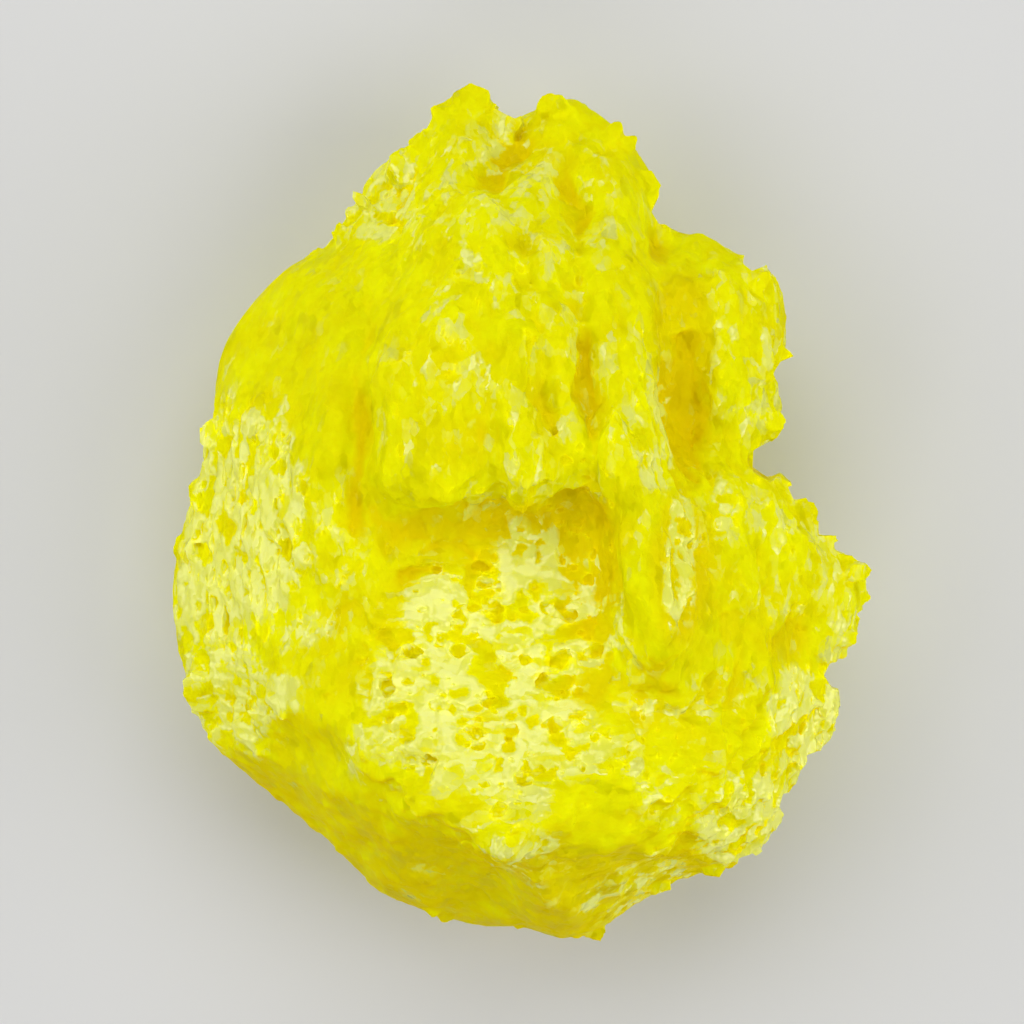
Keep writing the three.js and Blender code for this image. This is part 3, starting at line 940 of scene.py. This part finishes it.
# pale colours of the glassy plates: partly milky whiteness, partly a painted sheen
MILK_AND_SHEEN = (0.3, (0.83, 0.85, 0.05)), (0.7, (0.86, 0.885, 0.13))
MILK_AND_SHEEN_SHARE = (0.36, (0, 0, 0)), (0.8, (0.95, 0.95, 0.95))
SHINE = (0.58, (0, 0, 0)), (0.68, (0.7, 0.7, 0.7))
SHADER_VALUES = {
    "Subsurface Weight": 1,
    "Subsurface Radius": (1.0, 0.85, 0.05),
    "Subsurface Scale": 0.0014,
    "Specular IOR Level": 0.01,
    "Roughness": 0.45,
    "Coat IOR": 1.9,
    "Coat Roughness": 0.16,
}


def add(first, second):
    return recipe.maths("ADD", first, second)


def minus(first, second):
    return recipe.maths("SUBTRACT", first, second)


def times(first, second):
    return recipe.maths("MULTIPLY", first, second)


tint = times(minus(recipe.noise(80, 5, 0.6), 0.45), 1.2)
lemon = recipe.ramp(recipe.noise(130, 6, 0.7), *LEMON)
shade_and_tone_gold = recipe.ramp(recipe.noise(140), *SHADE_AND_TONE_GOLD)
# body: lemon, turning to the painted golden shade in hollows and away from the light, and golden in
# random spots by the tint
body = recipe.mix(add(recipe.attribute("painted_gold_shade"), tint), lemon, shade_and_tone_gold)
luck = add(times(lucks[0], 0.55), times(lucks[1], 0.45))
clouds = times(minus(recipe.noise(150, 6, 0.7, (1, 0.5, 1)), 0.5), 1.8)
chance = add(recipe.attribute("glassy_and_sheen"), add(luck, clouds))
# pale colour: partly the sulfur's milky whiteness, partly a painted sheen
milk_and_sheen = recipe.ramp(add(luck, 0.5), *MILK_AND_SHEEN)
for socket, value in SHADER_VALUES.items():
    recipe.shader.inputs[socket].default_value = value
# the base colour turns pale where the chance is high: partly milky whiteness, partly a painted sheen
# that goes with the coat
recipe.link(recipe.mix(recipe.ramp(chance, *MILK_AND_SHEEN_SHARE), body, milk_and_sheen), recipe.shader.inputs["Base Color"])
recipe.link(recipe.ramp(chance, *SHINE), recipe.shader.inputs["Coat Weight"])
print("nodes with colour and shine:", len(recipe.nodes))

# %% [markdown]
# ## Tilt the plates
#
# The plates are flat, so their tilt is one vector for the whole plate, added to the way the skin
# faces. A bump map would only raise their borders. On a glassy face they lie almost true, and
# elsewhere they are more unruly.

# %% Tilted normals
UNRULY = (0.3, (0.6, 0.6, 0.6)), (0.9, (0.2, 0.2, 0.2))

facing = recipe.nodes.new("ShaderNodeNewGeometry").outputs["Normal"]
unruly = recipe.ramp(recipe.attribute("glassy_and_sheen"), *UNRULY)
lean = recipe.vector_maths("MULTIPLY", recipe.vector_maths("ADD", *tilts), unruly)
tilted = recipe.vector_maths("NORMALIZE", recipe.vector_maths("ADD", facing, lean), (0, 0, 0))
for socket in ("Normal", "Coat Normal"):
    recipe.link(tilted, recipe.shader.inputs[socket])
core.data.materials.clear()
core.data.materials.append(recipe.material)
print("materials:", [m.name for m in core.data.materials])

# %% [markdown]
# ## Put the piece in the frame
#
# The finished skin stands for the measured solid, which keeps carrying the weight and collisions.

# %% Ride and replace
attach(core, "root")
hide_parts("sulfur_mass")

# %% [markdown]
# ## Floor, light and camera
#
# A plain pale floor and big soft lamps, as for a catalogue of minerals. The main lamp is where
# the pitted face mirrors it, the second where the left flank does, and the shoulder between them
# mirrors neither, so it stays matte. The camera looks straight down.

# %% Stage
def floor_piece():
    """A wide matte floor that is only there to be looked at."""
    floor_mesh = bmesh.new()
    bmesh.ops.create_grid(floor_mesh, x_segments=1, y_segments=1, size=3)
    floor = as_object(floor_mesh, "floor")
    material = bpy.data.materials.new("floor")
    material.use_nodes = True
    shader = material.node_tree.nodes["Principled BSDF"]
    shader.inputs["Base Color"].default_value = (0.72, 0.72, 0.72, 1)
    shader.inputs["Roughness"].default_value = 0.9
    floor.data.materials.append(material)


def softbox(name, azimuth, polar, distance, size, power):
    """A square lamp seen from the middle at these angles: polar is from straight up."""
    light = bpy.data.lights.new(name, "AREA")
    light.shape = "RECTANGLE"
    light.size, light.size_y = size
    light.energy = power
    lamp = bpy.data.objects.new(name, light)
    direction = Vector((
        math.sin(math.radians(polar)) * math.cos(math.radians(azimuth)),
        math.sin(math.radians(polar)) * math.sin(math.radians(azimuth)),
        math.cos(math.radians(polar)),
    ))
    lamp.location = direction * distance + Vector((0, 0, 0.03))
    lamp.rotation_euler = direction.to_track_quat("Z", "Y").to_euler()
    bpy.context.scene.collection.objects.link(lamp)


LAMPS = [
    # name, azimuth, polar angle, distance, size, power
    ("main_softbox", 92, 41, 0.8, (0.85, 0.6), 2.95),
    ("left_softbox", 172, 62, 0.7, (0.5, 0.8), 1.8),
    ("right_softbox", -10, 60, 0.8, (0.5, 0.7), 2.4),
    ("foot_softbox", -90, 52, 0.8, (0.6, 0.4), 1.5),
]

floor_piece()
for lamp in LAMPS:
    softbox(*lamp)
print("lamps:", len(LAMPS))

# %% World
scene = bpy.context.scene
world = bpy.data.worlds.new("studio")
world.use_nodes = True
world.node_tree.nodes["Background"].inputs["Color"].default_value = (1, 1, 1, 1)
world.node_tree.nodes["Background"].inputs["Strength"].default_value = 0.25
scene.world = world
scene.view_settings.view_transform = "Standard"

# %% Camera
CAMERA_PLACE = (-0.5 * MM, 0.5 * MM, 465 * MM)

lens = bpy.data.cameras.new("camera")
lens.lens = 100
lens.sensor_width = 36
lens.clip_end = 10
camera = bpy.data.objects.new("camera", lens)
camera.location = CAMERA_PLACE
scene.collection.objects.link(camera)
scene.camera = camera
print("camera height, mm:", round(camera.location.z / MM))
